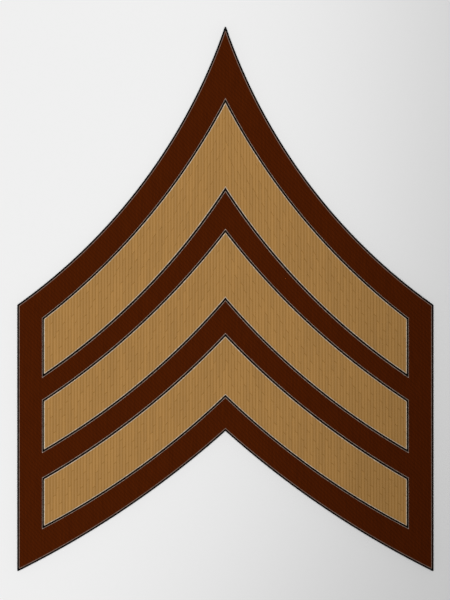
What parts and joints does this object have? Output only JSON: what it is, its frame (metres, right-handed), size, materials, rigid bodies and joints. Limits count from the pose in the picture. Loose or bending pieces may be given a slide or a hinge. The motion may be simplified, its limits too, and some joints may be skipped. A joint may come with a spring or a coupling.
{
  "type": "rank chevron",
  "caption": "Flat pointed cloth badge with raised bowed stripes, fine sewn outlines and a V notch below, sewn on a sleeve or laid on it to show rank.",
  "frame": {"origin": "on the back face, half way up the badge and in the middle across", "axes": "+Z out of the face, +Y to the peak, +X to the right as the face is seen"},
  "size_m": [0.08, 0.1042, 0.0025],
  "materials": {
    "ground_cloth": "matte dark brown twill",
    "tan_thread": "golden tan embroidery, slightly lustrous along the threads",
    "black_thread": "black twisted thread"
  },
  "bodies": {
    "root": {"backing": "ground_cloth", "border_edging": "black_thread", "stripe_upper": "tan_thread", "stripe_middle": "tan_thread", "stripe_lower": "tan_thread", "edging_upper": "black_thread", "edging_middle": "black_thread", "edging_lower": "black_thread"}
  },
  "joints": []
}
